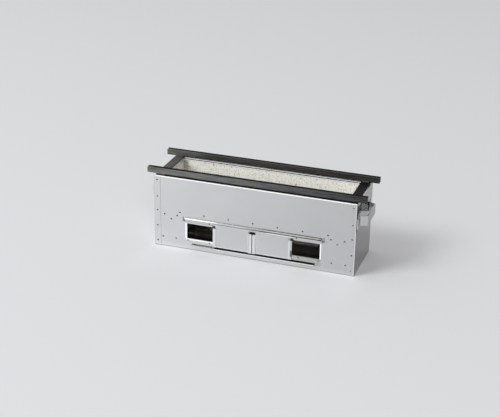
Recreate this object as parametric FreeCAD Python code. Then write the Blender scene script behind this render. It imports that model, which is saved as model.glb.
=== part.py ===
"""Charcoal grill for skewers: stainless casing, stone lining, air doors and a loose iron bar frame.

Millimetres. The origin is the centre of the casing's base, +X runs along the casing, the air
doors face -Y and +Z is up.
"""
import FreeCAD, Part
import math
import os

os.makedirs("parts", exist_ok=True)

Vector = FreeCAD.Vector

# Casing
length = 600.0              # over the end panels
depth = 180.0               # over the corner flanges
height = 218.0              # floor to rim
sheet = 1.0                 # stainless sheet
bend_radius = 0.8           # inside radius of a fold
corner_flange_width = 19.5  # end panel's flange on the long panels
corner_flange_drop = 1.5    # flange ends this far below the rim
rim_lip = 5.0               # turned-down edge of the rim
pan_flange = 12.0           # bottom pan's upstand
fit_gap = 0.3               # clearance round a loose slab

# Air windows in the front panel
window_width = 80.0
window_height = 47.0
window_bottom = 35.6
window_inner_x = 119.0      # from the middle to the window's inner edge
window_corner = 1.5
slot_height = 6.0           # small slots behind the notches of the open doors
middle_slot_width = 17.0
outer_slot_in = 6.0         # from the open door's edge inwards
outer_slot_out = 3.0        # and outwards

# Stone lining
side_slab_thick = 18.0
end_slab_thick = 27.0
slab_chamfer = 1.5
pocket_gap = 0.6            # room round a rivet's tail

# Ledges that carry the slabs and the grates
shelf_above_rail = 20.0     # upper rail's top to the shelf's top
shelf_width = 31.0
ledge_leg = 13.5
ledge_sheet = 1.5
ledge_corner_gap = 4.0      # ledge's end to the corner rivets' line

# Bulkheads under the end slabs
bulkhead_flange = 61.0
bulkhead_corner_gap = 7.0   # flange's end to the corner rivets' line
bulkhead_bottom = 22.0
bulkhead_ledge_gap = 0.5

# Fire grates
grate_count = 3
grate_bar_gap = 1.0         # to the long bars on the way out, each side
grate_end_gap = 0.4         # to the rim at each end
grate_spacing_gap = 1.5     # between grates
grate_thick = 8.0
grate_border = 10.0
grate_slot = 8.0
grate_rib = 8.0
grate_corner = 2.0

# Door rails
rail_depth = 7.0            # how far a rail stands out from the front panel
rail_lip = 5.0
top_rail_flange = 14.0
bottom_rail_flange = 21.5
rail_above_window = 5.4     # window's top to the upper rail's flange
rail_below_window = 0.6     # window's foot to the lower rail's flange
top_flange_extra = 9.5      # upper rail's flange beyond its groove, each end
bottom_flange_short = 10.0  # lower flange's end short of the upper one's
bottom_groove_short = 17.0  # lower groove's end short of its flange's

# Air doors
door_gap = 1.0              # between the open doors
door_window_gap = 0.5       # open door's edge to the window
door_cover = 2.2            # shut door's edge beyond the window
door_stop_gap = 0.3         # shut door to the rail's end wall
door_back_gap = 1.0         # door leaf to the rail's flange
door_bottom_play = 0.3
door_top_play = 0.7
door_hem = 5.0
pull_width = 10.0           # also the width of the side hem and the notches
pull_depth = 4.5            # from the leaf's front face
pull_rail_gap = 4.0         # lower rail's lip to the pull's foot
notch_height = 8.5
notch_drop = 10.8           # door's top to the notch

# Iron bar frame
bar = 16.0                  # square bar
bar_overhang = 23.0         # beyond the casing, each end
bar_inset = 7.0             # bar's outer face inside the casing's side
bar_edge_round = 0.8
flat_width = 25.0
flat_thick = 4.5
flat_inset = 4.5            # flat's outer edge inside the casing's end
flat_edge_round = 0.4
weld_leg = 3.0

# Strip handles
handle_bottom = 141.0
handle_height = 29.0
handle_sheet = 1.2
handle_reach = 21.0         # end panel to the grip's outer face
handle_side_gap = 6.0       # casing's corner to the foot's outer end
foot_length = 32.0
leg_slant = 7.0             # grip's end inside the leg's root
handle_bend = 2.0
handle_hem = 8.0            # height of the folded edges
hem_root_gap = 3.0          # end panel to the start of the folded edges
foot_rivet_in = 16.0        # foot's outer end to its rivets
foot_rivet_half = 8.0       # half of the upright distance between them

# Rivets
rivet_head_radius = 2.8
rivet_head_height = 1.0
rivet_shank_radius = 1.6
rivet_hole_gap = 0.05
rivet_tail_radius = 2.4
rivet_tail_height = 1.2
rivet_bore_radius = 0.8
rivet_bore_depth = 1.6
corner_rivet_in = 10.0      # casing's end to the corner rivets
corner_rivet_heights = (16.0, 63.5, 112.0, 155.0)
corner_rivet_rim_drop = 11.5
ledge_rivet_count = 7
ledge_rivet_pitch = 73.6
ledge_rivet_drop = 8.5      # shelf's top to the rivets
bulkhead_upper_rivets = ((7.5, 6.0), (26.0, 18.5), (46.5, 6.0))  # out from the web, down from the top
bulkhead_lower_rivets = ((11.5, 8.0), (52.0, 8.0))               # out from the web, up from the foot

# Making the cuts
cut_margin = 2.0            # how far a cutter runs past what it cuts
tolerance = 1e-6

# Worked out: casing and lining
half_length = length / 2
half_depth = depth / 2
panel_outer_y = half_depth - sheet
panel_inner_y = panel_outer_y - sheet
end_inner_x = half_length - sheet
panel_half = end_inner_x - bend_radius
slab_back_y = panel_inner_y - fit_gap
slab_face_y = slab_back_y - side_slab_thick
rim_edge_y = slab_face_y - fit_gap - sheet
end_slab_back_x = end_inner_x - fit_gap
end_slab_face_x = end_slab_back_x - end_slab_thick
rim_edge_x = end_slab_face_x - fit_gap - sheet
slab_top = height - sheet - fit_gap
lip_bottom = height - sheet - rim_lip

# Worked out: ends of the pieces inside the casing
corner_rivet_x = half_length - corner_rivet_in
ledge_half = corner_rivet_x - ledge_corner_gap
bulkhead_end_x = corner_rivet_x - bulkhead_corner_gap
bulkhead_x = bulkhead_end_x - bulkhead_flange

# Worked out: heights, rails and doors
window_outer_x = window_inner_x + window_width
window_top = window_bottom + window_height
top_rail_top = window_top + rail_above_window + top_rail_flange
shelf_height = top_rail_top + shelf_above_rail
bulkhead_top = shelf_height - ledge_leg - bulkhead_ledge_gap
bottom_rail_bottom = window_bottom - rail_below_window - bottom_rail_flange
top_groove_half = window_outer_x + door_cover + door_stop_gap + sheet
top_flange_half = top_groove_half + top_flange_extra
bottom_flange_half = top_flange_half - bottom_flange_short
bottom_groove_half = bottom_flange_half - bottom_groove_short
rail_back_y = panel_outer_y + sheet
rail_front_y = panel_outer_y + rail_depth
leaf_back_y = rail_back_y + door_back_gap
leaf_front_y = leaf_back_y + sheet
door_left_x = door_gap / 2
door_right_x = window_inner_x - door_window_gap
door_bottom = bottom_rail_bottom + sheet + door_bottom_play
door_top = top_rail_top - sheet - door_top_play
notch_top = door_top - notch_drop
notch_bottom = notch_top - notch_height
pull_bottom = bottom_rail_bottom + rail_lip + pull_rail_gap

# Worked out: bar frame and grates
bar_half = half_length + bar_overhang
bar_outer_y = half_depth - bar_inset
bar_inner_y = bar_outer_y - bar
flat_outer_x = half_length - flat_inset
flat_inner_x = flat_outer_x - flat_width
flat_top = height + flat_thick
grate_half_y = bar_inner_y - grate_bar_gap
grates_half = min(rim_edge_x, flat_inner_x) - grate_end_gap
grate_length = (2 * grates_half - (grate_count - 1) * grate_spacing_gap) / grate_count

# Worked out: rivets and handles
front_out = (0, -1, 0)
back_out = (0, 1, 0)
right_out = (1, 0, 0)
corner_grip = 2 * sheet
ledge_grip = sheet + ledge_sheet
bulkhead_grip = 2 * sheet
handle_grip = sheet + handle_sheet
foot_end = half_depth - handle_side_gap
handle_root_half = foot_end - foot_length
grip_half = handle_root_half - leg_slant


def box(low, high):
    """A box between two corners."""
    size = [high[i] - low[i] for i in range(3)]
    return Part.makeBox(size[0], size[1], size[2], Vector(*low))


def swing(shape):
    """The same shape turned half a turn about the upright axis."""
    turned = shape.copy()
    turned.rotate(Vector(0, 0, 0), Vector(0, 0, 1), 180)
    return turned


def mirror_x(shape):
    """The same shape mirrored to the other end."""
    return shape.mirror(Vector(0, 0, 0), Vector(1, 0, 0))


def save(name, shape):
    """Writes one node."""
    shape.exportStep("parts/" + name + ".step")


def in_yz(x):
    """Maps (u, v) to the point with y = u and z = v at this x."""
    return lambda u, v: Vector(x, u, v)


def in_xz(y):
    """Maps (u, v) to the point with x = u and z = v at this y."""
    return lambda u, v: Vector(u, y, v)


def in_xy(z):
    """Maps (u, v) to the point with x = u and y = v at this z."""
    return lambda u, v: Vector(u, v, z)


def unit(start, end):
    """The direction from one 2-D point to another."""
    reach = math.dist(start, end)
    return ((end[0] - start[0]) / reach, (end[1] - start[1]) / reach)


def rounded_face(points, radii, place):
    """A flat face through 2-D points with a fillet radius at each; place maps (u, v) to a Vector."""
    starts = []
    middles = []
    ends = []
    for i, here in enumerate(points):
        into = unit(points[i - 1], here)
        out = unit(here, points[(i + 1) % len(points)])
        turn = math.atan2(into[0] * out[1] - into[1] * out[0], into[0] * out[0] + into[1] * out[1])
        cut = radii[i] * abs(math.tan(turn / 2))
        reach = radii[i] / math.cos(turn / 2) - radii[i]
        inward = unit(into, out)
        starts.append((here[0] - into[0] * cut, here[1] - into[1] * cut))
        middles.append((here[0] + inward[0] * reach, here[1] + inward[1] * reach))
        ends.append((here[0] + out[0] * cut, here[1] + out[1] * cut))
    edges = []
    for i in range(len(points)):
        following = starts[(i + 1) % len(points)]
        if radii[i] > 0:
            edges.append(Part.Arc(place(*starts[i]), place(*middles[i]), place(*ends[i])).toShape())
        if math.dist(ends[i], following) > tolerance:
            edges.append(Part.LineSegment(place(*ends[i]), place(*following)).toShape())
    return Part.Face(Part.Wire(edges))


def right_normals(path):
    """For each run of a path, the unit vector to its right."""
    runs = [unit(start, end) for start, end in zip(path, path[1:])]
    return [(run[1], -run[0]) for run in runs]


def beside(path, distance):
    """The path moved to its right by a distance."""
    normals = right_normals(path)
    moved = []
    for i, point in enumerate(path):
        first = normals[max(i - 1, 0)]
        second = normals[min(i, len(normals) - 1)]
        share = distance / (1 + first[0] * second[0] + first[1] * second[1])
        moved.append((point[0] + (first[0] + second[0]) * share, point[1] + (first[1] + second[1]) * share))
    return moved


def bent_strip(path, thick, inside_radius, place):
    """The section of a folded sheet: path is the line of its left side, the sheet lies to the right."""
    normals = right_normals(path)
    near_radii = [0.0]
    far_radii = [0.0]
    for first, second in zip(normals, normals[1:]):
        left_turn = first[0] * second[1] - first[1] * second[0] > 0
        near_radii.append(inside_radius if left_turn else inside_radius + thick)
        far_radii.append(inside_radius + thick if left_turn else inside_radius)
    near_radii.append(0.0)
    far_radii.append(0.0)
    outline = list(path) + beside(path, thick)[::-1]
    return rounded_face(outline, near_radii + far_radii[::-1], place)


def rod(radius, start, end):
    """An upright cylinder from one height to another."""
    return Part.makeCylinder(radius, end - start, Vector(0, 0, start))


def seat(shape, spot, outward):
    """Turns a shape's +Z to outward and moves its origin to a spot."""
    shape.Placement = FreeCAD.Placement(Vector(*spot), FreeCAD.Rotation(Vector(0, 0, 1), Vector(*outward)))
    return shape


def rivet(spot, outward, grip):
    """A blind rivet: the head sits on the spot, its tail swells behind the grip."""
    dome_radius = (rivet_head_radius ** 2 + rivet_head_height ** 2) / (2 * rivet_head_height)
    dome = Part.makeSphere(dome_radius, Vector(0, 0, rivet_head_height - dome_radius))
    head = dome.common(rod(rivet_head_radius, 0, rivet_head_height))
    tail_end = -grip - rivet_tail_height
    shank = rod(rivet_shank_radius, tail_end, 0)
    tail = rod(rivet_tail_radius, tail_end, -grip)
    bore = rod(rivet_bore_radius, rivet_head_height - rivet_bore_depth, rivet_head_height)
    return seat(head.fuse([shank, tail]).removeSplitter().cut(bore), spot, outward)


def rivet_hole(spot, outward, grip):
    """The hole for a rivet's shank."""
    return seat(rod(rivet_shank_radius + rivet_hole_gap, -grip - cut_margin, cut_margin), spot, outward)


def tail_pocket(spot, outward, grip):
    """The room that a lining slab leaves for the tail of a rivet behind it."""
    return seat(rod(rivet_tail_radius + pocket_gap, -grip - rivet_tail_height - pocket_gap, 0), spot, outward)


def drill(shape, spots, outward, grip):
    """Cuts rivet holes out of a shape."""
    return shape.cut([rivet_hole(spot, outward, grip) for spot in spots])


def rivets(spots, outward, grip):
    """A group of separate rivets."""
    return Part.makeCompound([rivet(spot, outward, grip) for spot in spots])


def on_right(spots):
    """Those of the spots that lie in the right half."""
    return [spot for spot in spots if spot[0] > 0]


def at_back(spots):
    """The same spots on the back."""
    return [(x, -y, z) for x, y, z in spots]


def corner_spots():
    """Rivets through the corner flanges at the front."""
    heights = corner_rivet_heights + (height - corner_rivet_rim_drop,)
    return [(side * corner_rivet_x, -half_depth, z) for side in (-1, 1) for z in heights]


def ledge_spots():
    """The row of rivets that holds the front ledge."""
    first = -(ledge_rivet_count - 1) / 2
    z = shelf_height - ledge_rivet_drop
    return [((first + i) * ledge_rivet_pitch, -panel_outer_y, z) for i in range(ledge_rivet_count)]


def bulkhead_spots():
    """Rivets that hold the bulkheads at the front."""
    places = [(bulkhead_x + out, bulkhead_top - down) for out, down in bulkhead_upper_rivets]
    places += [(bulkhead_x + out, bulkhead_bottom + up) for out, up in bulkhead_lower_rivets]
    return [(side * x, -panel_outer_y, z) for side in (-1, 1) for x, z in places]


def handle_spots():
    """Rivets in the feet of the right handle."""
    x = half_length + handle_sheet
    y = foot_end - foot_rivet_in
    z = handle_bottom + handle_height / 2
    return [(x, side * y, z + rise) for side in (-1, 1) for rise in (-foot_rivet_half, foot_rivet_half)]


def long_panel():
    """A long panel at the front: upright sheet, rim folded in and lip turned down, with rivet holes."""
    path = [(-panel_outer_y, 0), (-panel_outer_y, height), (-rim_edge_y, height), (-rim_edge_y, lip_bottom)]
    panel = bent_strip(path, sheet, bend_radius, in_yz(-panel_half)).extrude(Vector(2 * panel_half, 0, 0))
    lip_end = box((rim_edge_x, -slab_face_y, lip_bottom - cut_margin),
                  (half_length, -rim_edge_y + cut_margin, height - sheet))
    panel = panel.cut([lip_end, mirror_x(lip_end)])
    panel = drill(panel, corner_spots(), front_out, corner_grip)
    panel = drill(panel, ledge_spots(), front_out, ledge_grip)
    return drill(panel, bulkhead_spots(), front_out, bulkhead_grip)


def right_window():
    """The cutter of the right air window."""
    corners = [(window_inner_x, window_bottom), (window_outer_x, window_bottom),
               (window_outer_x, window_top), (window_inner_x, window_top)]
    face = rounded_face(corners, [window_corner] * 4, in_xz(-panel_outer_y - cut_margin))
    return face.extrude(Vector(0, sheet + 2 * cut_margin, 0))


def panel_slot(low_x, high_x):
    """The cutter of a small slot in the front panel."""
    low = (low_x, -half_depth, notch_bottom)
    high = (high_x, -panel_inner_y + cut_margin, notch_bottom + slot_height)
    return box(low, high)


def front_panel():
    """The front panel with its two air windows and three small slots."""
    right_slot = panel_slot(door_right_x - outer_slot_in, door_right_x + outer_slot_out)
    cutters = [right_window(), right_slot]
    cutters += [mirror_x(cutter) for cutter in cutters]
    return long_panel().cut(cutters + [panel_slot(-middle_slot_width / 2, middle_slot_width / 2)])


def right_end_panel():
    """An end panel: flanges folded round both corners, rim folded in and lip turned down."""
    flange_inner_x = half_length - corner_flange_width
    wrap_path = [(flange_inner_x, half_depth), (half_length, half_depth),
                 (half_length, -half_depth), (flange_inner_x, -half_depth)]
    wrap = bent_strip(wrap_path, sheet, bend_radius, in_xy(0))
    wrap = wrap.extrude(Vector(0, 0, height - corner_flange_drop))
    rim_path = [(rim_edge_x, lip_bottom), (rim_edge_x, height),
                (half_length, height), (half_length, lip_bottom)]
    rim = bent_strip(rim_path, sheet, bend_radius, in_xz(-rim_edge_y)).extrude(Vector(0, 2 * rim_edge_y, 0))
    panel = wrap.fuse(rim).removeSplitter()
    panel = drill(panel, on_right(corner_spots()), front_out, corner_grip)
    panel = drill(panel, at_back(on_right(corner_spots())), back_out, corner_grip)
    return drill(panel, handle_spots(), right_out, handle_grip)


def bottom_pan():
    """The pan that closes the base, with an upstand inside each panel."""
    outside = box((-end_inner_x, -panel_inner_y, 0), (end_inner_x, panel_inner_y, pan_flange))
    inside = box((-end_inner_x + sheet, -panel_inner_y + sheet, sheet),
                 (end_inner_x - sheet, panel_inner_y - sheet, pan_flange + cut_margin))
    return outside.cut(inside)


def slab(low, high):
    """A lining slab with eased top edges and pockets for the rivet tails behind it."""
    block = box(low, high)
    top_edges = [edge for edge in block.Edges if edge.BoundBox.ZMin > high[2] - slab_chamfer]
    block = block.makeChamfer(slab_chamfer, top_edges)
    pockets = [tail_pocket(spot, front_out, corner_grip) for spot in corner_spots()]
    right_pockets = [tail_pocket(spot, right_out, handle_grip) for spot in handle_spots()]
    return block.cut(pockets + right_pockets + [swing(pocket) for pocket in right_pockets])


def front_slab():
    """The long slab behind the front panel."""
    return slab((-end_slab_back_x, -slab_back_y, shelf_height), (end_slab_back_x, -slab_face_y, slab_top))


def right_slab():
    """The short slab between the long ones."""
    half_width = slab_face_y - fit_gap
    return slab((end_slab_face_x, -half_width, shelf_height), (end_slab_back_x, half_width, slab_top))


def front_ledge():
    """An angle riveted inside the front panel, with its shelf at the top."""
    path = [(-panel_inner_y, shelf_height - ledge_leg), (-panel_inner_y, shelf_height),
            (-panel_inner_y + shelf_width, shelf_height)]
    section = bent_strip(path, ledge_sheet, bend_radius, in_yz(-ledge_half))
    return drill(section.extrude(Vector(2 * ledge_half, 0, 0)), ledge_spots(), front_out, ledge_grip)


def right_bulkhead():
    """A bulkhead from front to back, with a flange riveted to each long panel."""
    path = [(bulkhead_end_x, -panel_inner_y), (bulkhead_x, -panel_inner_y),
            (bulkhead_x, panel_inner_y), (bulkhead_end_x, panel_inner_y)]
    section = bent_strip(path, sheet, bend_radius, in_xy(bulkhead_bottom))
    shape = section.extrude(Vector(0, 0, bulkhead_top - bulkhead_bottom))
    shape = drill(shape, on_right(bulkhead_spots()), front_out, bulkhead_grip)
    return drill(shape, at_back(on_right(bulkhead_spots())), back_out, bulkhead_grip)


def grate_slots(centre_x):
    """Cutters of the two rows of slots in a grate."""
    pitch = grate_slot + grate_rib
    count = int((grate_length - 2 * grate_border + grate_rib) // pitch)
    first_x = centre_x - (count * pitch - grate_rib) / 2
    low_y = grate_rib / 2
    high_y = grate_half_y - grate_border
    slots = []
    for i in range(count):
        x = first_x + i * pitch
        corners = [(x, low_y), (x + grate_slot, low_y), (x + grate_slot, high_y), (x, high_y)]
        face = rounded_face(corners, [grate_slot / 2] * 4, in_xy(shelf_height - cut_margin))
        slot = face.extrude(Vector(0, 0, grate_thick + 2 * cut_margin))
        slots += [slot, slot.mirror(Vector(0, 0, 0), Vector(0, 1, 0))]
    return slots


def grate(centre_x):
    """A cast grate with straight slots across it."""
    low = (centre_x - grate_length / 2, -grate_half_y, shelf_height)
    high = (centre_x + grate_length / 2, grate_half_y, shelf_height + grate_thick)
    plate = box(low, high)
    upright = [edge for edge in plate.Edges if edge.BoundBox.ZLength > grate_thick / 2]
    return plate.makeFillet(grate_corner, upright).cut(grate_slots(centre_x))


def rail(path, groove_half, flange_half):
    """A rail along X from its section, its groove cut back at both ends."""
    shape = bent_strip(path, sheet, bend_radius, in_yz(-flange_half)).extrude(Vector(2 * flange_half, 0, 0))
    heights = [v for u, v in path]
    groove_end = box((groove_half, -rail_front_y - cut_margin, min(heights) - cut_margin),
                     (flange_half + cut_margin, -rail_back_y, max(heights) + cut_margin))
    return shape.cut([groove_end, mirror_x(groove_end)])


def top_rail():
    """The upper rail, open downwards, with an end wall at each end of its groove."""
    path = [(-rail_front_y, top_rail_top - rail_lip), (-rail_front_y, top_rail_top),
            (-panel_outer_y, top_rail_top), (-panel_outer_y, top_rail_top - top_rail_flange)]
    stop = box((top_groove_half - sheet, -rail_front_y + sheet, top_rail_top - rail_lip),
               (top_groove_half, -rail_back_y, top_rail_top - sheet))
    return rail(path, top_groove_half, top_flange_half).fuse([stop, mirror_x(stop)]).removeSplitter()


def bottom_rail():
    """The lower rail, open upwards."""
    path = [(-panel_outer_y, bottom_rail_bottom + bottom_rail_flange), (-panel_outer_y, bottom_rail_bottom),
            (-rail_front_y, bottom_rail_bottom), (-rail_front_y, bottom_rail_bottom + rail_lip)]
    return rail(path, bottom_groove_half, bottom_flange_half)


def inner_pull():
    """The open pull folded along the door's inner edge."""
    front_y = leaf_front_y + pull_depth
    path = [(door_left_x + pull_width, -front_y), (door_left_x, -front_y), (door_left_x, -leaf_back_y)]
    section = bent_strip(path, sheet, bend_radius, in_xy(pull_bottom))
    return section.extrude(Vector(0, 0, notch_bottom - pull_bottom))


def notch(edge_x, inward):
    """The cutter above a pull."""
    ends = (edge_x - inward * cut_margin, edge_x + inward * pull_width)
    return box((min(ends), -leaf_front_y - cut_margin, notch_bottom), (max(ends), -rail_back_y, notch_top))


def right_door():
    """An air door: leaf, hems on three sides, an open pull at the inner side, notches above both sides."""
    leaf = box((door_left_x, -leaf_front_y, door_bottom), (door_right_x, -leaf_back_y, door_top))
    hems = [box((door_left_x, -leaf_front_y - sheet, z), (door_right_x, -leaf_front_y, z + door_hem))
            for z in (door_bottom, door_top - door_hem)]
    hems.append(box((door_right_x - pull_width, -leaf_front_y - sheet, door_bottom),
                    (door_right_x, -leaf_front_y, notch_bottom)))
    notches = [notch(door_left_x, 1), notch(door_right_x, -1)]
    return leaf.fuse(hems + [inner_pull()]).removeSplitter().cut(notches)


def front_bar():
    """A square bar with slightly rounded edges."""
    block = box((-bar_half, -bar_outer_y, flat_top), (bar_half, -bar_inner_y, flat_top + bar))
    return block.makeFillet(bar_edge_round, block.Edges)


def right_cross_flat():
    """A cross flat under the bars."""
    block = box((flat_inner_x, -bar_outer_y, height), (flat_outer_x, bar_outer_y, flat_top))
    long_edges = [edge for edge in block.Edges if edge.BoundBox.YLength > bar_outer_y]
    return block.makeFillet(flat_edge_round, long_edges)


def weld_beads():
    """A fillet bead at the inner foot of each bar, on each flat."""
    corners = [(-bar_inner_y, flat_top), (-bar_inner_y + weld_leg, flat_top),
               (-bar_inner_y, flat_top + weld_leg)]
    face = rounded_face(corners, [0.0] * 3, in_yz(flat_inner_x + flat_edge_round))
    bead = face.extrude(Vector(flat_width - 2 * flat_edge_round, 0, 0))
    return Part.makeCompound([bead, mirror_x(bead), swing(bead), swing(mirror_x(bead))])


def right_handle():
    """A strip handle: feet, slanted legs and a straight grip, with its long edges folded inwards."""
    inner_x = half_length
    outer_x = half_length + handle_reach - handle_sheet
    path = [(inner_x, -foot_end), (inner_x, -handle_root_half), (outer_x, -grip_half),
            (outer_x, grip_half), (inner_x, handle_root_half), (inner_x, foot_end)]
    strip = bent_strip(path, handle_sheet, handle_bend, in_xy(handle_bottom))
    strip = strip.extrude(Vector(0, 0, handle_height))
    share = hem_root_gap / (outer_x - inner_x)
    hem_root_half = handle_root_half + (grip_half - handle_root_half) * share
    hem_ends = [(inner_x + hem_root_gap, side * hem_root_half) for side in (-1, 1)]
    hem_path = beside([hem_ends[0], path[2], path[3], hem_ends[1]], -handle_sheet)
    hems = []
    for z in (handle_bottom, handle_bottom + handle_height - handle_hem):
        section = bent_strip(hem_path, handle_sheet, handle_bend - handle_sheet, in_xy(z))
        hems.append(section.extrude(Vector(0, 0, handle_hem)))
    return drill(strip.fuse(hems).removeSplitter(), handle_spots(), right_out, handle_grip)


def build_casing():
    """Panels, pan, lining, ledges, bulkheads and grates."""
    save("front_panel", front_panel())
    save("back_panel", swing(long_panel()))
    save("bottom_pan", bottom_pan())
    pairs = (("end_panel", right_end_panel()), ("slab", right_slab()), ("bulkhead", right_bulkhead()))
    for name, shape in pairs:
        save("right_" + name, shape)
        save("left_" + name, swing(shape))
    for name, shape in (("slab", front_slab()), ("ledge", front_ledge())):
        save("front_" + name, shape)
        save("back_" + name, swing(shape))
    for i in range(grate_count):
        step = grate_length + grate_spacing_gap
        save("grate_" + str(i + 1), grate((i - (grate_count - 1) / 2) * step))


def build_fittings():
    """Rails, doors, bar frame and handles."""
    save("top_rail", top_rail())
    save("bottom_rail", bottom_rail())
    save("right_door", right_door())
    save("left_door", mirror_x(right_door()))
    save("front_bar", front_bar())
    save("back_bar", swing(front_bar()))
    save("right_cross_flat", right_cross_flat())
    save("left_cross_flat", swing(right_cross_flat()))
    save("weld_beads", weld_beads())
    save("right_handle", right_handle())
    save("left_handle", swing(right_handle()))


def build_rivets():
    """Every group of rivets."""
    groups = (("corner_rivets", corner_spots(), corner_grip), ("ledge_rivets", ledge_spots(), ledge_grip),
              ("bulkhead_rivets", bulkhead_spots(), bulkhead_grip))
    for name, spots, grip in groups:
        group = rivets(spots, front_out, grip)
        save("front_" + name, group)
        save("back_" + name, swing(group))
    group = rivets(handle_spots(), right_out, handle_grip)
    save("right_handle_rivets", group)
    save("left_handle_rivets", swing(group))


build_casing()
build_fittings()
build_rivets()
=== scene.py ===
"""Dressing of a long charcoal grill for skewers, in metres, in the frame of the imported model."""
import math

import bpy
import bmesh
from mathutils import Matrix, Vector


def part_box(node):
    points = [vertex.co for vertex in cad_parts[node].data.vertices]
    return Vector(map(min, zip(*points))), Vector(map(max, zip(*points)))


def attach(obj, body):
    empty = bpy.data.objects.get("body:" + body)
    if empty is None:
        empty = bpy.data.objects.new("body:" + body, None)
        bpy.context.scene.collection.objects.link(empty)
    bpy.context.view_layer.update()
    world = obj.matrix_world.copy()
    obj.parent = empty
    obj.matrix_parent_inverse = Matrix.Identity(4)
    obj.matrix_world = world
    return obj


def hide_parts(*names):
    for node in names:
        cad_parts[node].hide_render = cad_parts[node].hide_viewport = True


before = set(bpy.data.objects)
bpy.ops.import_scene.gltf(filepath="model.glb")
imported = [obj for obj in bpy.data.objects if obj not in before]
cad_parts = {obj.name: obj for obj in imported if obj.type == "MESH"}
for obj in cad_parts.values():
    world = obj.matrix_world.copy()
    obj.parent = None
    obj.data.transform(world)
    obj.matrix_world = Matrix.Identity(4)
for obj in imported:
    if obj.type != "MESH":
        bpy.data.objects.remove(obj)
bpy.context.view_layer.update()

# Camera, fitted to the photograph's corners and edges
picture_width = 500.0
sensor_width = 36.0
focal_pixels = 1175.8
camera_azimuth = math.radians(18.462)
camera_elevation = math.radians(23.864)
camera_roll = math.radians(0.940)
camera_distance = 3.4070
camera_target = Vector((-0.03819, 0.0, 0.11748))
camera_clip_end = 60.0

# Studio
floor_half = 9.0
studio_aim = Vector((0, 0, 0.1))
floor_colour = (0.620, 0.627, 0.643, 1.0)
# Painted light on the floor in front of the casing, palest nearest to it
floor_painted_light = (0.648, 0.655, 0.672, 1.0)
floor_painted_lighter = (0.715, 0.722, 0.741, 1.0)
paler_x = (-0.30, 0.30)     # painted light on the floor in front of the casing, against its contact shadow
paler_y = (-0.14, 0.0)
paler_fade = 0.15
palest_y = (-0.098, 0.0)
palest_fade = 0.022
world_left = (0.96, 0.955, 0.945, 1.0)
world_right = (0.43, 0.428, 0.425, 1.0)
key_place = Vector((-7.0, -6.6, 8.5))
key_size = 4.8
key_power = 920.0
key_colour = (0.965, 0.985, 1.0)
fill_place = Vector((4.0, -8.5, 6.5))
fill_size = 3.0
fill_power = 190.0
fill_colour = (1.0, 0.99, 0.97)

# Weld beads
bead_radius = 0.0022
bead_sunk = 0.25            # share of the radius that lies inside the corner
bead_ripple = 0.00035
bead_taper = 0.45           # how much thinner a bead's ends are
bead_steps = 56
bead_sides = 10
ripple_length = 0.0022

# Spot weld marks on the rails
mark_radius = 0.0024
mark_depth = 0.0002
mark_sides = 16
top_mark_z = 0.0903
bottom_mark_z = 0.0305
top_mark_x = (-0.2065, -0.130, 0.130, 0.2065)
bottom_mark_x = (-0.196, -0.130, 0.137, 0.196)

# Rivet mandrels, broken off inside the rivets' bores
mandrel_radius = 0.00066
mandrel_foot = 0.0015
mandrel_recess = 0.0004
mandrel_peak = 0.00015
mandrel_sides = 12

# Steel, painted brighter at the left end and darker at the right, where the light falls
steel_painted_light_left = (0.852, 0.852, 0.857, 1.0)
steel_painted_shade_right = (0.672, 0.674, 0.679, 1.0)
steel_edge_tint = (0.66, 0.66, 0.66, 1.0)

# Finishes of the places that differ from the plain sheet: colour, roughness, metal; most of them are
# painted highlights and painted shade
# Painted highlights: bright metal, rougher bright metal and matt white
painted_highlight = ((0.96, 0.96, 0.965, 1.0), 0.12, 1.0)
brushed_highlight = ((0.96, 0.96, 0.965, 1.0), 0.30, 1.0)
painted_matt_light = ((0.92, 0.92, 0.92, 1.0), 0.45, 0.0)
# Painted shade, from grey to black
painted_grey_shade = ((0.53, 0.53, 0.535, 1.0), 0.45, 0.0)
painted_mild_shade = ((0.60, 0.595, 0.57, 1.0), 0.15, 1.0)
painted_shade = ((0.45, 0.45, 0.44, 1.0), 0.20, 1.0)
# Plain dark grey steel: painted shade along the end panels' folds and under the upper rail's lip; also
# a smudge on a door and the upper rail's left tip
dark_grey_steel = ((0.24, 0.235, 0.23, 1.0), 0.30, 1.0)
# Painted shade, dark and black
painted_dark_shade = ((0.075, 0.072, 0.068, 1.0), 0.40, 1.0)
painted_black_shade = ((0.022, 0.021, 0.020, 1.0), 0.50, 1.0)

# Softness of a mark's edge, from a line to a long fade
sharp = 0.0003
blurred = 0.0010
hazy = 0.005
faded = 0.015
spread = 0.020
broad = 0.045
beyond = 0.5                # further than any piece reaches

# Sizes of the sheet pieces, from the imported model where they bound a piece
casing_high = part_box("right_end_panel")[1]
panel_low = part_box("front_panel")[0]
top_rail_low, top_rail_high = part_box("top_rail")
foot_rail_low, foot_rail_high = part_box("bottom_rail")
door_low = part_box("right_door")[0]
bar_low, bar_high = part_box("front_bar")
sheet = 0.001
rail_lip = 0.005
notch_bottom = 0.081
groove_end = 0.2025         # upper rail's groove, either way from the middle
foot_groove_end = 0.185     # lower rail's groove
window_inner = 0.119
window_outer = 0.199
window_foot = 0.0356
window_head = 0.0826

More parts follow.
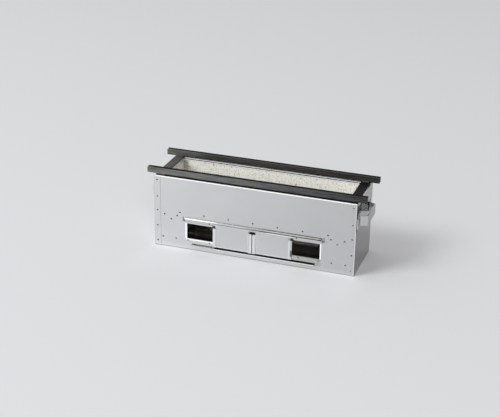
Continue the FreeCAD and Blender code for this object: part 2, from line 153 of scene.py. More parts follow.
# Marks on the long panels: painted highlights on the rims, lips and window edges; painted shade under
# the bars, on the lips' tops, over the upper rail and along the foot
rim_start = 0.0680          # the rim's fold, either way from the middle
rim_face_z = 0.2174
front_bar_shade_y = (-0.0846, -0.0660)
back_bar_shade_y = (0.0785, 0.0846)
rim_edge_y = -0.0850
rim_edge_z = 0.2166
lip_y = (0.0655, 0.0690)
lip_face_z = (0.2090, 0.2148)
lip_top_y = (0.0655, 0.0692)
lip_top_z = (0.2147, 0.2171)
window_edge = 0.0055        # painted highlight beside the left window
narrow_edge = 0.0035        # and beside the right one
rail_shade_height = 0.0028          # painted shade, up from the upper rail's roof
rail_shade_x = (-0.1975, 0.2025)
foot_shade_height = 0.0018

# Marks on the end panels and handles: painted shade along the folds, beside the front edge and along
# the foot; painted highlights on the front edge, the rims' tops and the handles' feet
fold_y = (0.0858, 0.0895)
front_fold_y = -0.0884
fold_edge_x = (0.2972, 0.2992)
corner_shade_y = -0.0815
corner_shade_z = (0.138, 0.213)
rim_brushed_z = 0.2172
foot_highlight_y = 0.0765

# Marks on the doors: painted highlights on the pulls, hems and rail edges, painted light inside the
# pulls, painted shade along both rails
left_pull_x = (-0.0068, 0.0)
right_pull_x = (0.0045, 0.0092)
pull_front = 0.0015         # depth of a pull's painted highlight
# Painted light inside the pulls
pull_inside_x = (0.0020, 0.0125)
pull_inside_y = (door_low.y + 0.0008, -0.0918)
pull_inside_top = 0.080
# Painted highlights on the outer hems
left_hem_x = -0.1115
right_hem_x = (0.1080, 0.1125)
smudge_x = 0.1128
smudge_z = (0.033, 0.048)
door_shade_top = 0.0220          # painted shade on the doors reaches up to here
door_shine = 0.0028         # painted highlight above it
door_shine_x = (-0.110, 0.111)
brow_z = (0.0936, 0.0962)   # painted shade under the upper rail's lip
brow_black_x = 0.03
brow_shine_z = (0.0912, 0.0934)
brow_shine_x = 0.05

# Marks on the upper rail: a painted highlight at the left, painted shade at the right, on the roof, at
# the groove's end and under the lip
lip_shine_x = -0.140
lip_middle_x = (-0.012, 0.030)
lip_right_x = 0.165
roof_start = 0.0018         # behind the lip's face
roof_lighter_x = -0.10
roof_darker_x = 0.05
left_tip_x = -0.2095
lip_black_x = 0.04
end_blob = 0.005
end_blob_z = (0.0970, 0.1000)
flange_shade = 0.0012
flange_shade_x = -0.120
under_lip_z = (0.0930, 0.0946)
under_lip_dark_x = 0.03

# Marks on the lower rail: painted light under the left window, painted shade under the right one and in
# the groove, a painted highlight on the lip
left_strip_z = 0.0312
black_start_x = -0.110
lip_shine = 0.0025          # painted highlight, below the lip's top
lip_black = 0.0008
lip_black_y = -0.0945
groove_shade_top = 0.0211        # painted shade on the flange reaches up to here

# Marks inside the casing: rust on the left, black at the front low down, pale ash with painted light at
# the back; painted shade and a dark joint in the stone's left corner
rust_x = (-0.235, -0.05)
black_front_y = -0.002
black_low_z = 0.03
back_wall_y = 0.059
right_pale_x = (0.068, 0.15)
left_pale_x = (-0.184, -0.168)
shaded_corner_x = -0.2600   # painted shade on the back slab, at the left
dark_joint_x = -0.2702
dark_joint_z = 0.195
back_slab_y = 0.0696

# Marks on the bars: near black at the rear of the tops, painted shade along the back bar's foot
front_bar_rear = (-0.0790, -0.0660)
back_bar_rear = 0.0730
back_bar_foot = 0.0024

panel_nodes = ["front_panel", "back_panel"]
end_nodes = ["right_end_panel", "left_end_panel"]
door_nodes = ["right_door", "left_door"]
rail_nodes = ["top_rail", "bottom_rail"]
handle_nodes = ["right_handle", "left_handle"]
inside_nodes = ["bottom_pan", "front_ledge", "back_ledge", "right_bulkhead", "left_bulkhead"]
rivet_nodes = ["front_corner_rivets", "back_corner_rivets", "front_ledge_rivets",
               "back_ledge_rivets", "front_bulkhead_rivets", "back_bulkhead_rivets",
               "right_handle_rivets", "left_handle_rivets"]
slab_nodes = ["front_slab", "back_slab", "right_slab", "left_slab"]
grate_nodes = ["grate_1", "grate_2", "grate_3"]
flat_nodes = ["right_cross_flat", "left_cross_flat"]


def feed(tree, socket, value):
    """Links a node's input to a socket, or sets it to a plain value."""
    if isinstance(value, bpy.types.NodeSocket):
        tree.links.new(value, socket)
    else:
        socket.default_value = value


def fill_in(tree, node, **settings):
    """Sets a node's inputs and properties; an input's name has underscores for spaces."""
    for name, value in settings.items():
        if hasattr(node, name):
            setattr(node, name, value)
        else:
            feed(tree, node.inputs[name.replace("_", " ")], value)


def add_node(tree, kind, **settings):
    """Adds a shader node and fills it in."""
    node = tree.nodes.new(kind)
    fill_in(tree, node, **settings)
    return node


def new_material(name):
    """A material with an empty tree, its Principled shader and the object's coordinates."""
    material = bpy.data.materials.new(name)
    material.use_nodes = True
    tree = material.node_tree
    tree.nodes.clear()
    shader = tree.nodes.new("ShaderNodeBsdfPrincipled")
    output = tree.nodes.new("ShaderNodeOutputMaterial")
    tree.links.new(shader.outputs["BSDF"], output.inputs["Surface"])
    place = tree.nodes.new("ShaderNodeTexCoord")
    return material, tree, shader, place.outputs["Object"]


def coordinates(tree, vector):
    """The coordinates of a vector, by the names of their axes."""
    return add_node(tree, "ShaderNodeSeparateXYZ", Vector=vector).outputs


def stretched(tree, vector, scale):
    """The coordinates scaled by a factor for each axis."""
    return add_node(tree, "ShaderNodeMapping", Vector=vector, Scale=scale).outputs["Vector"]


def noise(tree, vector, scale, detail=3.0, roughness=0.5):
    """The factor of a noise texture."""
    settings = {"Vector": vector, "Scale": scale, "Detail": detail, "Roughness": roughness}
    return add_node(tree, "ShaderNodeTexNoise", **settings).outputs["Fac"]


def ramp(tree, value, stops):
    """A colour ramp; stops are (position, colour)."""
    node = add_node(tree, "ShaderNodeValToRGB", Fac=value)
    elements = node.color_ramp.elements
    while len(elements) < len(stops):
        elements.new(0.5)
    for element, (position, colour) in zip(elements, stops):
        element.position = position
        element.color = colour
    return node.outputs["Color"]


def grey(level):
    """An opaque grey."""
    return (level, level, level, 1.0)


def mixed(tree, factor, first, second, blend="MIX"):
    """Mixes two colours by a factor; each may be a socket or a value."""
    node = add_node(tree, "ShaderNodeMix", data_type="RGBA", blend_type=blend)
    for index, value in ((0, factor), (6, first), (7, second)):
        feed(tree, node.inputs[index], value)
    return node.outputs[2]


def multiplied(tree, first, second):
    """Two colours multiplied."""
    return mixed(tree, 1.0, first, second, "MULTIPLY")


def scaled(tree, value, factor, offset):
    """A number times a factor plus an offset, held between 0 and 1."""
    node = add_node(tree, "ShaderNodeMath", operation="MULTIPLY_ADD", use_clamp=True)
    for index, term in enumerate((value, factor, offset)):
        feed(tree, node.inputs[index], term)
    return node.outputs["Value"]


def bump(tree, height, strength, distance, below=None):
    """A bump node, stacked on another one if given."""
    node = add_node(tree, "ShaderNodeBump", Height=height, Strength=strength, Distance=distance)
    if below is not None:
        feed(tree, node.inputs["Normal"], below)
    return node.outputs["Normal"]


def held(tree, value, start, end):
    """0 at one place and 1 at another, straight between them and held beyond them."""
    settings = {"Value": value, "From_Min": start, "From_Max": end}
    return add_node(tree, "ShaderNodeMapRange", clamp=True, **settings).outputs["Result"]


def product(tree, first, second):
    """Two numbers multiplied."""
    node = add_node(tree, "ShaderNodeMath", operation="MULTIPLY")
    feed(tree, node.inputs[0], first)
    feed(tree, node.inputs[1], second)
    return node.outputs["Value"]


def between(axis, places, edge=sharp):
    """A limit of a region along one axis, with the softness of its edge."""
    low, high = places
    return (axis, low, high, edge)


def above(axis, low, edge=sharp):
    """A limit with a lower end alone."""
    return (axis, low, beyond, edge)


def below(axis, high, edge=sharp):
    """A limit with an upper end alone."""
    return (axis, -beyond, high, edge)


def region(tree, place, limits):
    """1 inside all the limits and 0 outside."""
    position = coordinates(tree, place)
    inside = None
    for axis, low, high, edge in limits:
        for start, end in ((low - edge, low), (high + edge, high)):
            if abs(end) < beyond:
                part = held(tree, position[axis], start, end)
                inside = part if inside is None else product(tree, inside, part)
    return inside


def mirrored(limit, others, finish):
    """The same mark on the two sides of the middle."""
    axis, low, high, edge = limit
    return [([limit] + others, finish), ([(axis, -high, -low, edge)] + others, finish)]


def steel(name, marks, tone=1.0, dull=0.0):
    """Stainless sheet, painted brighter to the left where the light falls; marks are (limits, finish)
    of places that differ.
    """
    material, tree, shader, place = new_material(name)
    grain = noise(tree, stretched(tree, place, (14.0, 900.0, 900.0)), 1.0, detail=4.0, roughness=0.6)
    smears = noise(tree, stretched(tree, place, (7.0, 7.0, 11.0)), 1.0, detail=5.0, roughness=0.62)
    waves = noise(tree, stretched(tree, place, (3.2, 3.2, 5.0)), 1.0, detail=1.0, roughness=0.4)
    share = scaled(tree, coordinates(tree, place)["X"], 0.5 / casing_high.x, 0.5)
    # Painted light: brighter at the left end, darker at the right
    along = ramp(tree, share, [(0.0, steel_painted_light_left), (1.0, steel_painted_shade_right)])
    cloudy = ramp(tree, smears, [(0.30, grey(0.95 * tone)), (0.70, grey(tone))])
    colour = multiplied(tree, along, cloudy)
    polish = mixed(tree, 0.35, smears, grain)
    rough = ramp(tree, polish, [(0.30, grey(0.05 + dull)), (0.72, grey(0.10 + dull))])
    metal = 1.0
    for limits, (mark_colour, mark_rough, mark_metal) in marks:
        inside = region(tree, place, limits)
        colour = mixed(tree, inside, colour, mark_colour)
        rough = mixed(tree, inside, rough, grey(mark_rough))
        if metal != mark_metal:
            metal = mixed(tree, inside, grey(1.0) if metal == 1.0 else metal, grey(mark_metal))
    dents = bump(tree, waves, strength=0.2, distance=0.003)
    brushing = bump(tree, grain, strength=0.03, distance=0.0002, below=dents)
    fill_in(tree, shader, Base_Color=colour, Metallic=metal, Roughness=rough, Normal=brushing,
            Specular_Tint=steel_edge_tint)
    return material


def panel_steel():
    """Long panels: painted highlights on the rims, folds, lips and window edges; painted shade under
    the bars, on the lips' tops, over the upper rail and along the foot.
    """
    face = below("Y", panel_low.y + sharp)
    top = above("Z", rim_face_z)
    beside_window = [face, between("Z", (window_foot, window_head))]
    left_edge = between("X", (-window_outer - window_edge, -window_outer))
    right_edge = between("X", (window_outer, window_outer + narrow_edge))
    above_rail_shade = between("Z", (top_rail_high.z, top_rail_high.z + rail_shade_height))
    # Painted highlights on the rims' tops and front edge, the lips' faces and beside the windows;
    # painted shade under the bars, on the lips' tops, over the upper rail and along the foot
    marks = mirrored(above("Y", rim_start), [top], painted_matt_light)
    marks.append(([between("Y", front_bar_shade_y), top], painted_black_shade))
    marks.append(([between("Y", back_bar_shade_y), top], painted_black_shade))
    marks.append(([below("Y", rim_edge_y), above("Z", rim_edge_z)], painted_matt_light))
    marks += mirrored(between("Y", lip_y), [between("Z", lip_face_z)], painted_matt_light)
    marks += mirrored(between("Y", lip_top_y), [between("Z", lip_top_z)], painted_black_shade)
    marks.append((beside_window + [left_edge], painted_matt_light))
    marks.append((beside_window + [right_edge], painted_matt_light))
    marks.append(([face, above_rail_shade, between("X", rail_shade_x, faded)], painted_grey_shade))
    marks.append(([below("Z", foot_shade_height, blurred)], painted_shade))
    return steel("panel_steel", marks)


def end_steel():
    """End panels: painted shade along the folds, a painted highlight on the front edge, painted shade
    beside it and along the foot, rim tops rougher with a painted highlight.
    """
    corner_shade_run = between("Z", corner_shade_z, hazy)
    # Painted shade along the folds and beside the front edge, painted highlights on the front edge and
    # the rims' tops
    marks = mirrored(between("Y", fold_y), [], dark_grey_steel)
    marks.append(([below("Y", front_fold_y), between("X", fold_edge_x)], painted_highlight))
    marks.append(([below("Y", corner_shade_y), corner_shade_run, above("X", fold_edge_x[1])], painted_black_shade))
    marks.append(([above("Z", rim_brushed_z)], brushed_highlight))
    marks.append(([below("Z", foot_shade_height, blurred)], painted_shade))
    return steel("end_steel", marks)


def handle_steel():
    """Handles: duller and paler than the sheet, with a painted highlight at the ends of the feet."""
    return steel("handle_steel", mirrored(above("Y", foot_highlight_y), [], painted_matt_light), 0.95, 0.10)


def door_steel():
    """Doors: painted highlights on the pulls, the outer hems, below the upper rail's shade and above
    the lower rail; painted light inside the pulls; painted shade along both rails.
    """
    pull_face = below("Y", door_low.y + pull_front)
    inside_pull = [between("Y", pull_inside_y), below("Z", pull_inside_top)]
    beside_notch = below("Z", notch_bottom)
    shine = between("Z", (door_shade_top, door_shade_top + door_shine))
    # Painted light inside the pulls, painted highlights on the pulls' fronts, the hems and by the
    # rails, painted shade along both rails
    marks = mirrored(between("X", pull_inside_x), inside_pull, painted_matt_light)
    marks.append(([pull_face, between("X", left_pull_x)], painted_highlight))
    marks.append(([pull_face, between("X", right_pull_x)], painted_highlight))
    marks.append(([below("X", left_hem_x), beside_notch], painted_highlight))
    marks.append(([between("X", right_hem_x), beside_notch], painted_highlight))
    marks.append(([above("X", smudge_x), between("Z", smudge_z, hazy)], dark_grey_steel))
    marks.append(([shine, between("X", door_shine_x, faded)], painted_highlight))
    marks.append(([below("Z", door_shade_top), above("X", door_shine_x[0], faded)], painted_black_shade))
    marks.append(([between("Z", brow_z)], dark_grey_steel))
    marks.append(([between("Z", brow_z), above("X", brow_black_x, broad)], painted_black_shade))
    marks.append(([between("Z", brow_shine_z), above("X", brow_shine_x, spread)], painted_matt_light))
    return steel("door_steel", marks)


def top_rail_marks(lip, flange):
    """Upper rail: a painted highlight at the left, painted shade at the right, under the lip, at the
    groove's end and on the roof.
    """
    rail = above("Z", top_rail_low.z)
    roof = [above("Y", top_rail_low.y + roof_start), above("Z", top_rail_high.z - sharp)]
    lip_bottom = top_rail_high.z - rail_lip
    lip_foot = between("Z", (lip_bottom, lip_bottom + sheet))
    blob = between("X", (groove_end - end_blob, groove_end + sheet))
    flange_foot = between("Z", (top_rail_low.z, top_rail_low.z + flange_shade))
    under_lip = between("Z", under_lip_z)
    # Painted highlight on the lip at the left; painted shade on the lip's middle and right, past the
    # groove's end, on the roof, at the groove's end and under the lip
    return [([lip, rail, below("X", lip_shine_x, broad)], painted_matt_light),
            ([lip, rail, between("X", lip_middle_x, spread)], painted_mild_shade),
            ([lip, rail, above("X", lip_right_x, spread)], painted_mild_shade),
            ([rail, above("X", groove_end + sheet)], painted_shade),
            (roof, painted_shade),
            (roof + [below("X", roof_lighter_x, broad)], painted_mild_shade),
            (roof + [above("X", roof_darker_x, broad)], painted_dark_shade),
            ([rail, below("X", left_tip_x)], dark_grey_steel),
            ([lip, lip_foot, above("X", lip_black_x, broad)], painted_black_shade),
            ([blob, between("Z", end_blob_z)], painted_dark_shade),
            ([flange, flange_foot, below("X", flange_shade_x, faded)], painted_shade),
            ([flange, under_lip], dark_grey_steel),
            ([flange, under_lip, above("X", under_lip_dark_x, broad)], painted_dark_shade)]


def foot_rail_marks(lip, flange):
    """Lower rail: painted light under the left window and painted shade under the right one, a painted
    highlight on the lip, painted shade in the groove.
    """
    lip_top = foot_rail_low.z + rail_lip
    strip = below("Z", window_foot)
    shine = between("Z", (lip_top - lip_shine, lip_top - lip_black))
    black_edge = between("Z", (lip_top - lip_black, lip_top + sharp))
    groove = [flange, below("Z", groove_shade_top), between("X", (-foot_groove_end, foot_groove_end))]
    shaded_part = above("X", black_start_x, faded)
    # Painted light under the left window, painted shade under the right one, a painted highlight and
    # painted shade on the lip, painted shade in the groove
    return [([flange, above("Z", left_strip_z), below("X", -window_inner), strip], painted_matt_light),
            ([flange, above("X", window_inner), strip], painted_mild_shade),
            ([lip, shine, shaded_part], painted_matt_light),
            ([below("Y", lip_black_y), black_edge, shaded_part], painted_black_shade),
            (groove, painted_shade),
            (groove + [shaded_part], painted_black_shade)]


def rail_steel():
    """Both rails, with the marks on their lips and flanges."""
    lip = below("Y", foot_rail_low.y + sheet / 2)
    flange = between("Y", (foot_rail_high.y - sheet - sharp, foot_rail_high.y))
    return steel("rail_steel", top_rail_marks(lip, flange) + foot_rail_marks(lip, flange))


def inside_steel():
    """Sheet inside the casing: sooty black, blackest at the front low down, rusty streaks on the left,
    pale ash and painted light at the back.
    """
    material, tree, shader, place = new_material("inside_steel")
    tint = noise(tree, place, 26.0, detail=4.0, roughness=0.6)
    ash = noise(tree, place, 170.0, detail=4.0, roughness=0.7)
    streaks = noise(tree, stretched(tree, place, (30.0, 90.0, 90.0)), 1.0, detail=4.0, roughness=0.7)
    metal = ramp(tree, tint, [(0.35, (0.045, 0.043, 0.040, 1.0)), (0.65, (0.15, 0.14, 0.12, 1.0))])
    rusty = ramp(tree, streaks, [(0.50, grey(0.0)), (0.62, grey(1.0))])
    left = region(tree, place, [between("X", rust_x, broad)])
    rust = mixed(tree, multiplied(tree, rusty, left), metal, (0.62, 0.54, 0.47, 1.0))
    back = above("Y", back_wall_y, hazy)
    front = region(tree, place, [below("Y", black_front_y, faded), below("Z", black_low_z)])
    # Pale ash and painted light at the back
    pale_right = region(tree, place, [between("X", right_pale_x, hazy), back])
    pale_left = region(tree, place, [between("X", left_pale_x, blurred), back])
    pale = mixed(tree, pale_left, pale_right, grey(1.0))
    dust = ramp(tree, ash, [(0.50, grey(0.0)), (0.80, grey(0.35))])
    dusty = mixed(tree, dust, rust, (0.45, 0.44, 0.40, 1.0))
    front_black = mixed(tree, front, dusty, (0.02, 0.019, 0.018, 1.0))
    colour = mixed(tree, pale, front_black, (0.90, 0.90, 0.80, 1.0))
    rough = ramp(tree, tint, [(0.3, grey(0.45)), (0.7, grey(0.65))])
    crust = bump(tree, ash, strength=0.3, distance=0.0006)
    fill_in(tree, shader, Base_Color=colour, Metallic=0.2, Roughness=rough, Normal=crust)
    return material


def rivet_steel():
    """Plain rivet steel, duller than the sheet, some heads darker than others."""
    material, tree, shader, place = new_material("rivet_steel")
    patches = noise(tree, place, 260.0, detail=3.0)
    heads = noise(tree, place, 31.0, detail=0.0)
    colour = ramp(tree, patches, [(0.35, grey(0.25)), (0.65, grey(0.41))])
    shade = ramp(tree, heads, [(0.40, grey(0.58)), (0.60, grey(1.0))])
    dull = multiplied(tree, colour, shade)
    skin = bump(tree, patches, strength=0.2, distance=0.0003)
    fill_in(tree, shader, Base_Color=dull, Metallic=1.0, Roughness=0.36, Normal=skin)
    return material


def lining_stone():
    """Cut cream stone: sandy ground, dark and rusty specks, open pores, saw marks, painted shade and a
    dark joint in the back slab's left corner.
    """
    material, tree, shader, place = new_material("lining_stone")
    clouds = noise(tree, place, 9.0, detail=5.0, roughness=0.6)
    sand = noise(tree, place, 520.0, detail=3.0, roughness=0.7)
    specks = noise(tree, place, 320.0, detail=2.0, roughness=0.6)
    flecks = noise(tree, place, 150.0, detail=2.0, roughness=0.5)
    rust = noise(tree, place, 95.0, detail=2.0, roughness=0.5)
    ground = ramp(tree, clouds, [(0.32, (0.945, 0.92, 0.835, 1.0)), (0.68, (0.975, 0.96, 0.895, 1.0))])
    grains = ramp(tree, sand, [(0.3, grey(0.78)), (0.6, grey(1.0))])
    grainy = mixed(tree, 0.35, ground, grains, "MULTIPLY")
    speck_mask = ramp(tree, specks, [(0.535, grey(0.0)), (0.64, grey(0.85))])
    specked = mixed(tree, speck_mask, grainy, (0.60, 0.595, 0.53, 1.0))
    fleck_mask = ramp(tree, flecks, [(0.655, grey(0.0)), (0.70, grey(0.8))])
    flecked = mixed(tree, fleck_mask, specked, (0.34, 0.31, 0.26, 1.0))
    rust_mask = ramp(tree, rust, [(0.69, grey(0.0)), (0.76, grey(0.4))])
    rusted = mixed(tree, rust_mask, flecked, (0.62, 0.53, 0.38, 1.0))
    back = above("Y", back_slab_y)
    # Painted shade in the back slab's left corner, and a dark joint at the corner
    corner = region(tree, place, [below("X", shaded_corner_x, hazy), back])
    corner_shade_and_joint = mixed(tree, corner, grey(1.0), grey(0.60))
    joint = region(tree, place, [below("X", dark_joint_x), back, above("Z", dark_joint_z, faded)])
    corner_shade_and_joint = mixed(tree, joint, corner_shade_and_joint, grey(0.18))
    colour = multiplied(tree, rusted, corner_shade_and_joint)
    sawn = noise(tree, stretched(tree, place, (30.0, 30.0, 700.0)), 1.0, detail=2.0)
    rough = bump(tree, sand, strength=0.4, distance=0.0006)
    pits = bump(tree, fleck_mask, strength=-0.5, distance=0.0008, below=rough)
    marks = bump(tree, sawn, strength=0.2, distance=0.0005, below=pits)
    fill_in(tree, shader, Base_Color=colour, Roughness=0.92, Normal=marks)
    return material


def black_iron(name, tones, dark_faces):
    """Mill scale on rolled bar; tones are (place along X, colour), lighter at the left with dust and
    painted light; dark faces are limits of near-black places.
    """
    material, tree, shader, place = new_material(name)
    rolled = noise(tree, stretched(tree, place, (16.0, 160.0, 160.0)), 1.0, detail=5.0, roughness=0.65)
    bloom = noise(tree, place, 22.0, detail=4.0, roughness=0.6)
    pits = noise(tree, place, 750.0, detail=3.0, roughness=0.7)
    share = scaled(tree, coordinates(tree, place)["X"], 1.0, 0.5)
    along = ramp(tree, share, [(x + 0.5, colour) for x, colour in tones])
    streaked = ramp(tree, rolled, [(0.34, grey(0.45)), (0.56, grey(0.85)), (0.74, grey(1.0))])
    pitted = ramp(tree, pits, [(0.35, grey(0.70)), (0.60, grey(1.0))])
    colour = multiplied(tree, multiplied(tree, along, streaked), pitted)
    bloom_mask = ramp(tree, bloom, [(0.50, grey(0.0)), (0.74, grey(0.35))])
    colour = mixed(tree, bloom_mask, colour, (0.085, 0.068, 0.052, 1.0))
    rough = ramp(tree, rolled, [(0.3, grey(0.42)), (0.75, grey(0.60))])
    for limits in dark_faces:
        inside = region(tree, place, limits)
        colour = mixed(tree, inside, colour, (0.010, 0.010, 0.011, 1.0))
        rough = mixed(tree, inside, rough, grey(1.0))
    coarse = bump(tree, rolled, strength=0.25, distance=0.0008)
    fine = bump(tree, pits, strength=0.25, distance=0.0003, below=coarse)
    fill_in(tree, shader, Base_Color=colour, Roughness=rough, Normal=fine, Specular_IOR_Level=0.08)
    return material


def paint_iron():
    """The bars and flats: greyer at the left with dust and painted light, blacker at the right with
    painted shade, near black at the rear of the tops; painted shade on the back bar's foot.
    """
    # Tones: lighter at the left with dust and painted light, darker to the right with painted shade
    front_tones = [(-0.32, (0.23, 0.226, 0.212, 1.0)), (-0.15, (0.21, 0.21, 0.205, 1.0)),
                   (0.05, (0.145, 0.145, 0.153, 1.0)), (0.32, grey(0.062))]
    back_tones = [(-0.32, (0.17, 0.167, 0.155, 1.0)), (-0.25, (0.15, 0.147, 0.135, 1.0)),
                  (-0.19, (0.072, 0.070, 0.067, 1.0)), (0.10, (0.070, 0.064, 0.055, 1.0)),
                  (0.32, grey(0.042))]
    flat_tones = [(-0.27, (0.115, 0.112, 0.104, 1.0)), (0.27, grey(0.006))]
    top = above("Z", bar_high.z - sharp)
    front_rear = [top, between("Y", front_bar_rear, blurred)]
    back_rear = [top, above("Y", back_bar_rear, blurred)]
    back_foot = [below("Z", bar_low.z + back_bar_foot)]
    paint(["front_bar"], black_iron("front_bar_iron", front_tones, [front_rear]))
    paint(["back_bar"], black_iron("back_bar_iron", back_tones, [back_rear, back_foot]))
    paint(flat_nodes, black_iron("flat_iron", flat_tones, []))


def grate_iron():
    """Raw cast iron: grey-black, sandy skin with ash dust."""
    material, tree, shader, place = new_material("grate_iron")
    skin = noise(tree, place, 520.0, detail=4.0, roughness=0.7)
    dust = noise(tree, place, 28.0, detail=4.0, roughness=0.6)
    iron = ramp(tree, skin, [(0.3, (0.030, 0.029, 0.028, 1.0)), (0.7, (0.075, 0.072, 0.069, 1.0))])
    dust_mask = ramp(tree, dust, [(0.5, grey(0.0)), (0.8, grey(0.35))])
    colour = mixed(tree, dust_mask, iron, (0.22, 0.205, 0.185, 1.0))
    cast = bump(tree, skin, strength=0.6, distance=0.0008)
    fill_in(tree, shader, Base_Color=colour, Metallic=0.3, Roughness=0.8, Normal=cast)
    return material


def weld_metal():
    """Weld bead: darker, heat-tinted steel."""
    material, tree, shader, place = new_material("weld_metal")
    tint = noise(tree, place, 120.0, detail=3.0)
    colour = ramp(tree, tint, [(0.35, (0.07, 0.068, 0.072, 1.0)), (0.65, (0.15, 0.135, 0.115, 1.0))])
    fill_in(tree, shader, Base_Color=colour, Metallic=0.8, Roughness=0.42)
    return material


def mandrel_steel():
    """Broken mandrels: dark plain steel with a torn end."""
    material, tree, shader, place = new_material("mandrel_steel")
    torn = noise(tree, place, 1400.0, detail=3.0, roughness=0.6)
    colour = ramp(tree, torn, [(0.35, (0.05, 0.05, 0.05, 1.0)), (0.65, (0.14, 0.135, 0.13, 1.0))])
    jagged = bump(tree, torn, strength=0.5, distance=0.0002)
    fill_in(tree, shader, Base_Color=colour, Metallic=0.9, Roughness=0.55, Normal=jagged)
    return material


def floor_paint():
    """The pale studio floor, with painted light in front of the casing against the casing's contact
    shadow.
    """
    material, tree, shader, place = new_material("studio_floor")
    front = region(tree, place, [between("X", paler_x, broad), between("Y", paler_y, paler_fade)])
    near = region(tree, place, [between("X", paler_x, faded), between("Y", palest_y, palest_fade)])
    colour = mixed(tree, near, mixed(tree, front, floor_colour, floor_painted_light), floor_painted_lighter)
    fill_in(tree, shader, Base_Color=colour, Roughness=0.9, Specular_IOR_Level=0.1)
    return material


def paint(names, material):
    """Gives CAD nodes a material."""
    for name in names:
        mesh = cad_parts[name].data
        mesh.materials.clear()
        mesh.materials.append(material)


def new_piece(name, mesh, material, body):
    """A piece that rides on a body and takes its finish from a slot."""
    mesh.materials.append(material)
    piece = bpy.data.objects.new(name, mesh)
    bpy.context.scene.collection.objects.link(piece)
    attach(piece, body)
    return piece


def mesh_from(build, name):
    """A smooth-shaded mesh filled by a function that takes a bmesh."""
    shape = bmesh.new()
    build(shape)
    bmesh.ops.recalc_face_normals(shape, faces=shape.faces)
    mesh = bpy.data.meshes.new(name)
    shape.to_mesh(mesh)
    shape.free()
    for face in mesh.polygons:
        face.use_smooth = True
    return mesh


def add_ring(shape, centre, across, up, radius, sides):
    """A ring of points about a centre."""
    ring = []
    for i in range(sides):
        angle = 2 * math.pi * i / sides
        outward = across * math.cos(angle) + up * math.sin(angle)
        ring.append(shape.verts.new(centre + outward * radius))
    return ring


def bridge(shape, first, second):
    """Faces between two rings."""
    count = len(first)
    for i in range(count):
        following = (i + 1) % count
        shape.faces.new((first[i], first[following], second[following], second[i]))


def cap(shape, first, last):
    """Faces that close the two ends of a row of rings."""
    shape.faces.new(first[::-1])
    shape.faces.new(last)


def add_bead(shape, start, end):
    """A rippled weld bead from one point to another."""
    run = end - start
    up = Vector((0, 0, 1))
    across = run.normalized().cross(up)
    rings = []
    for i in range(bead_steps + 1):
        share = i / bead_steps
        ripple = bead_ripple * math.sin(2 * math.pi * share * run.length / ripple_length)
        taper = 1.0 - bead_taper * abs(2 * share - 1) ** 8
        radius = bead_radius * taper + ripple
        rings.append(add_ring(shape, start + run * share, across, up, radius, bead_sides))
    for first, second in zip(rings, rings[1:]):
        bridge(shape, first, second)
    cap(shape, rings[0], rings[-1])


def make_weld_beads(material):
    """Rippled beads in place of the plain fillets."""
    low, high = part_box("weld_beads")
    flat_low, flat_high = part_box("right_cross_flat")
    z = low.z + bead_radius * bead_sunk
    y = high.y - bead_radius * bead_sunk

    def build(shape):
        for side_x in (-1, 1):
            for side_y in (-1, 1):
                start = Vector((side_x * (flat_low.x + bead_radius), side_y * y, z))
                end = Vector((side_x * (flat_high.x - bead_radius), side_y * y, z))
                add_bead(shape, start, end)

    mesh = mesh_from(build, "weld_bead_runs")
    piece = new_piece("weld_bead_runs", mesh, material, "bar_frame")
    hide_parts("weld_beads")


def add_mark(shape, centre, outward):
    """A shallow, slightly raised spot weld mark: rings of (share of the radius, share of the depth)."""
    across = Vector((1, 0, 0))
    up = across.cross(outward)
    rings = []
    for width, rise in ((1.0, 0.0), (0.8, 1.0), (0.5, 0.2)):
        middle = centre + outward * mark_depth * rise
        rings.append(add_ring(shape, middle, across, up, mark_radius * width, mark_sides))
    for first, second in zip(rings, rings[1:]):
        bridge(shape, first, second)
    cap(shape, rings[0], rings[-1])


def make_spot_marks(material):
    """Spot weld marks on the rails' flanges."""
    face_y = panel_low.y - sheet
    outward = Vector((0, -1, 0))

    def build(shape):
        for places, z in ((top_mark_x, top_mark_z), (bottom_mark_x, bottom_mark_z)):
            for x in places:
                add_mark(shape, Vector((x, face_y, z)), outward)

    new_piece("rail_spot_marks", mesh_from(build, "rail_spot_marks"), material, "casing")


def islands(name):
    """The lowest and highest corner of each joined patch of faces in a node, in the mesh's order."""
    shape = bmesh.new()
    shape.from_mesh(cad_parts[name].data)
    taken = set()
    boxes = []
    for start in shape.verts:
        if start in taken:
            continue
        taken.add(start)
        patch = [start]
        for vert in patch:
            near = [edge.other_vert(vert) for edge in vert.link_edges]
            fresh = [other for other in near if other not in taken]
            taken.update(fresh)
            patch.extend(fresh)
        corners = [[pick(vert.co[i] for vert in patch) for i in range(3)] for pick in (min, max)]
        boxes.append([Vector(corner) for corner in corners])
    shape.free()
    return boxes


def add_mandrel(shape, outer_end, outward):
    """The broken stub of a mandrel: rings of (depth below the patch's outer end, radius)."""
    across = outward.orthogonal().normalized()
    up = outward.cross(across)
    rings = []
    for depth, radius in ((mandrel_foot, mandrel_radius), (mandrel_recess, mandrel_radius),
                          (mandrel_recess - mandrel_peak, mandrel_radius / 2)):
        rings.append(add_ring(shape, outer_end - outward * depth, across, up, radius, mandrel_sides))
    for first, second in zip(rings, rings[1:]):
        bridge(shape, first, second)
    cap(shape, rings[0], rings[-1])


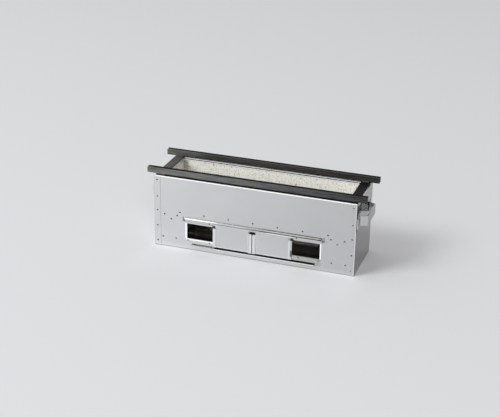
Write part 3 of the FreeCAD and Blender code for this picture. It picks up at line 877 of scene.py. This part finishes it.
def make_mandrels(material):
    """Mandrel stubs in the rivets.

    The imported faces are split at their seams, so a rivet is several patches, each with a stub:
    the head's shows in the bore, and the others repeat it or lie hidden inside.
    """
    sides = {"front": Vector((0, -1, 0)), "back": Vector((0, 1, 0)),
             "right": Vector((1, 0, 0)), "left": Vector((-1, 0, 0))}

    def build(shape):
        for name in rivet_nodes:
            outward = sides[name.split("_")[0]]
            for low, high in islands(name):
                middle = (low + high) / 2
                half = Vector([abs(outward[i]) * (high[i] - low[i]) / 2 for i in range(3)]).length
                add_mandrel(shape, middle + outward * half, outward)

    new_piece("rivet_mandrels", mesh_from(build, "rivet_mandrels"), material, "casing")


def make_floor():
    """A large flat floor."""
    mesh = bpy.data.meshes.new("studio_floor")
    corners = [(-floor_half, -floor_half, 0), (floor_half, -floor_half, 0),
               (floor_half, floor_half, 0), (-floor_half, floor_half, 0)]
    mesh.from_pydata(corners, [], [(0, 1, 2, 3)])
    mesh.materials.append(floor_paint())
    floor = bpy.data.objects.new("studio_floor", mesh)
    bpy.context.scene.collection.objects.link(floor)


def make_world():
    """A pale surround, brighter on the left."""
    world = bpy.data.worlds.new("studio")
    world.use_nodes = True
    tree = world.node_tree
    place = tree.nodes.new("ShaderNodeTexCoord")
    share = scaled(tree, coordinates(tree, place.outputs["Generated"])["X"], 0.5, 0.5)
    colour = ramp(tree, share, [(0.1, world_left), (0.9, world_right)])
    feed(tree, tree.nodes["Background"].inputs["Color"], colour)
    bpy.context.scene.world = world


def make_light(name, place, size, power, colour):
    """A square area light aimed at the grill."""
    light = bpy.data.lights.new(name, "AREA")
    light.shape = "SQUARE"
    light.size = size
    light.energy = power
    light.color = colour
    lamp = bpy.data.objects.new(name, light)
    lamp.location = place
    lamp.rotation_euler = (studio_aim - place).to_track_quat("-Z", "Y").to_euler()
    bpy.context.scene.collection.objects.link(lamp)


def make_camera():
    """The camera at the photograph's angle."""
    back = Vector((math.sin(camera_azimuth) * math.cos(camera_elevation),
                   -math.cos(camera_azimuth) * math.cos(camera_elevation), math.sin(camera_elevation)))
    right = Vector((math.cos(camera_azimuth), math.sin(camera_azimuth), 0))
    up = back.cross(right)
    across = right * math.cos(camera_roll) + up * math.sin(camera_roll)
    upward = up * math.cos(camera_roll) - right * math.sin(camera_roll)
    data = bpy.data.cameras.new("camera")
    data.sensor_fit = "HORIZONTAL"
    data.sensor_width = sensor_width
    data.lens = focal_pixels * sensor_width / picture_width
    data.clip_end = camera_clip_end
    camera = bpy.data.objects.new("camera", data)
    turn = Matrix((across, upward, back)).transposed()
    place = camera_target + back * camera_distance
    camera.matrix_world = Matrix.Translation(place) @ turn.to_4x4()
    bpy.context.scene.collection.objects.link(camera)
    bpy.context.scene.camera = camera


paint(panel_nodes, panel_steel())
paint(end_nodes, end_steel())
paint(door_nodes, door_steel())
paint(rail_nodes, rail_steel())
paint(handle_nodes, handle_steel())
paint(inside_nodes, inside_steel())
paint(rivet_nodes, rivet_steel())
paint(slab_nodes, lining_stone())
paint_iron()
paint(grate_nodes, grate_iron())
make_weld_beads(weld_metal())
make_spot_marks(steel("spot_steel", [], 0.35, 0.20))
make_mandrels(mandrel_steel())
make_floor()
make_world()
make_light("key", key_place, key_size, key_power, key_colour)
make_light("fill", fill_place, fill_size, fill_power, fill_colour)
make_camera()
bpy.context.scene.view_settings.view_transform = "Standard"
